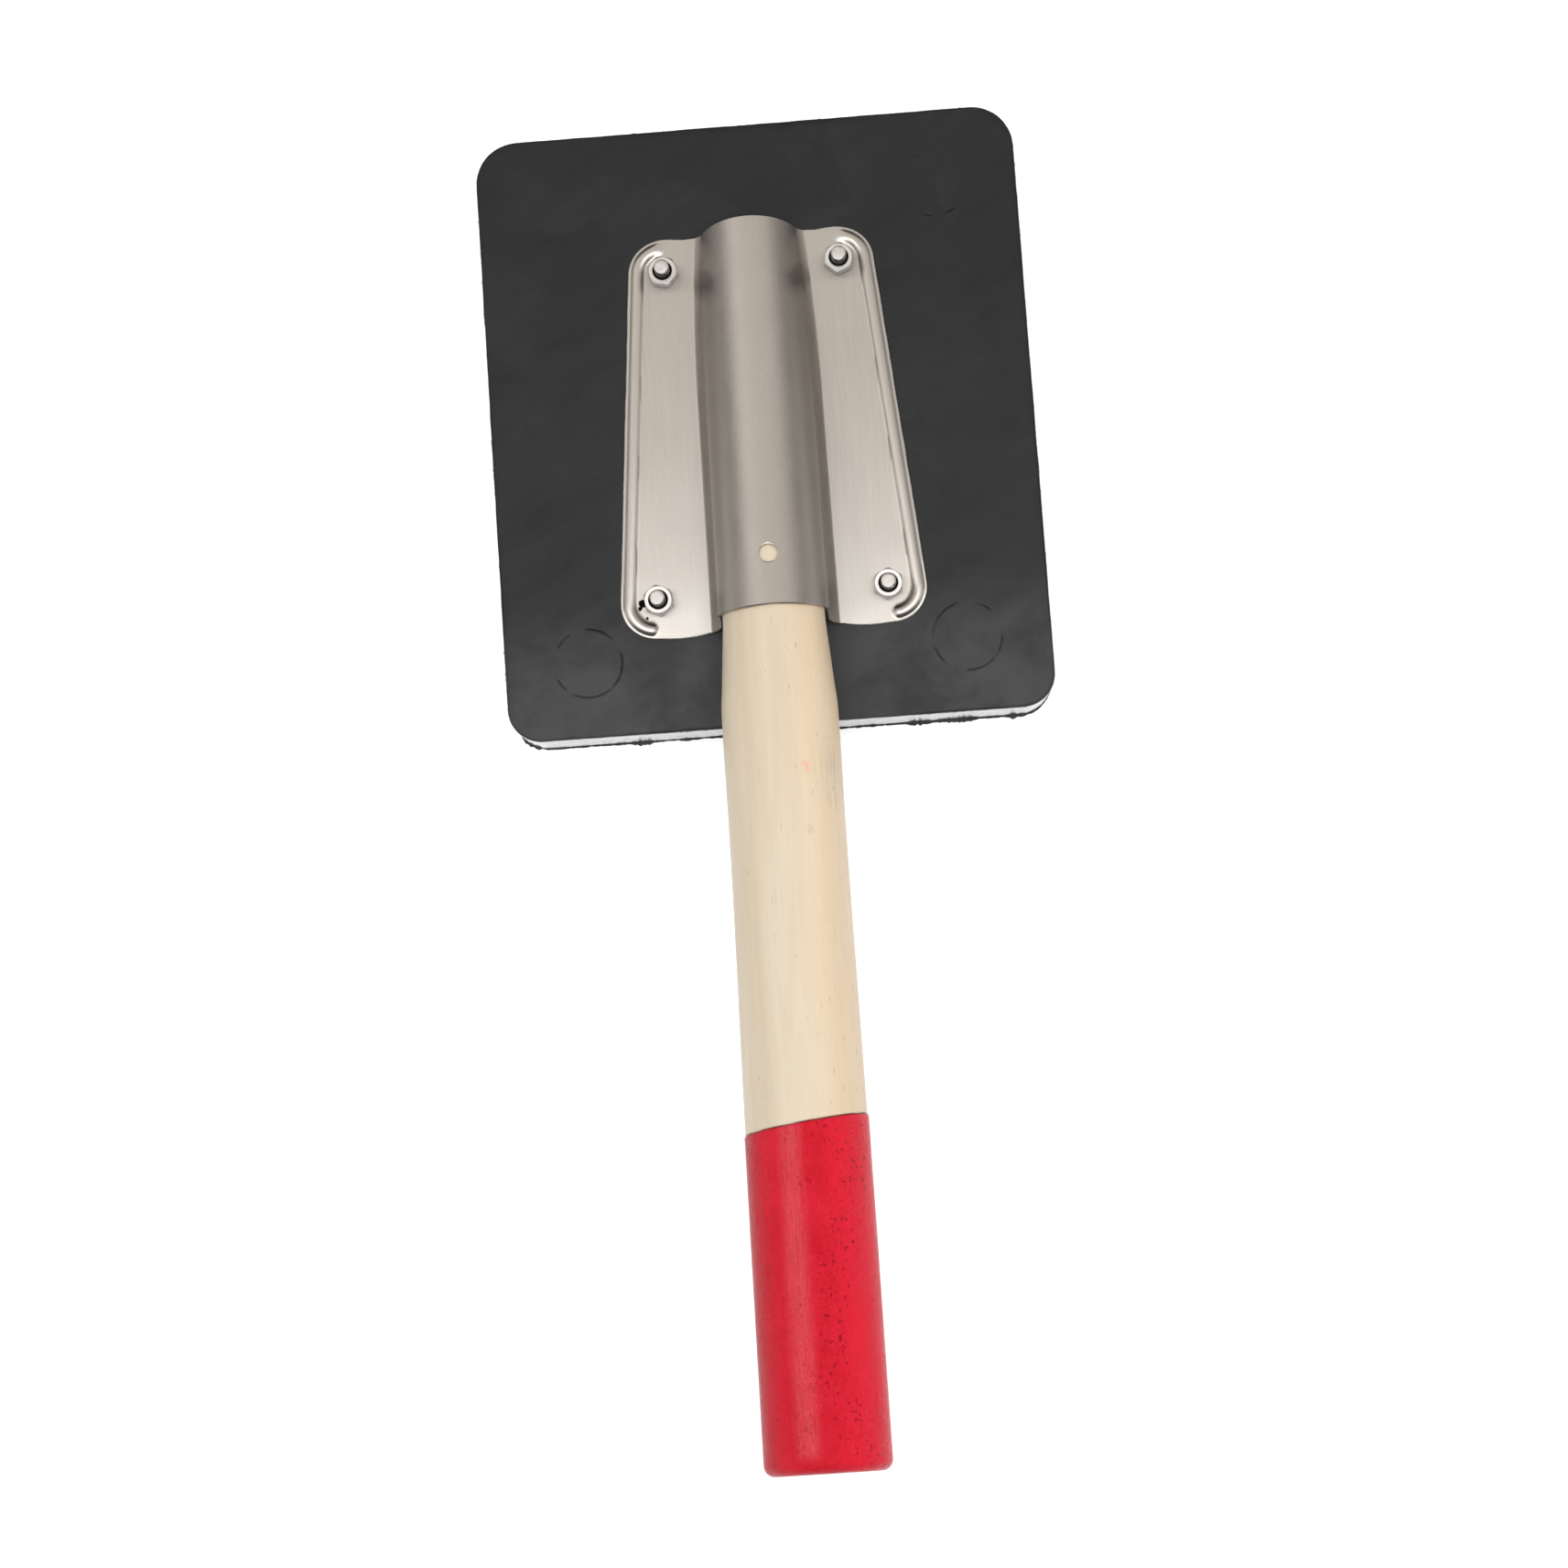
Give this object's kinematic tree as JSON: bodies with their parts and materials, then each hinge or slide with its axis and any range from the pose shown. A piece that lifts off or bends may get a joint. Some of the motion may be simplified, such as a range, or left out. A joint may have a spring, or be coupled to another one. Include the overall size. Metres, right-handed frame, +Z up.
{
  "type": "grout float with long handle",
  "caption": "Flat rubber pad with a pressed steel socket bolted on top and a long wooden handle rising at a shallow angle, its free end dipped in red.",
  "frame": {"origin": "centre of the pad's working face", "axes": "+Z up from the working face through the pad, +Y along the pad away from the handle, +X to the right of someone who holds the handle"},
  "size_m": [0.16, 0.3865, 0.0932],
  "materials": {
    "rubber": "moulded black rubber, satin",
    "plate_steel": "mill finish",
    "fastener_steel": "bright zinc plated",
    "bracket_steel": "stainless, brushed lengthwise",
    "bare_wood": "pale close-grained wood, sanded",
    "red_coat": "glossy red dip coat"
  },
  "bodies": {
    "root": {"rubber_pad": "rubber", "insert_plate": "plate_steel", "stud_far_left": "fastener_steel", "stud_far_right": "fastener_steel", "stud_near_left": "fastener_steel", "stud_near_right": "fastener_steel", "socket_bracket": "bracket_steel", "nut_far_left": "fastener_steel", "nut_far_right": "fastener_steel", "nut_near_left": "fastener_steel", "nut_near_right": "fastener_steel", "handle": "bare_wood", "dip_coat": "red_coat"}
  },
  "joints": []
}
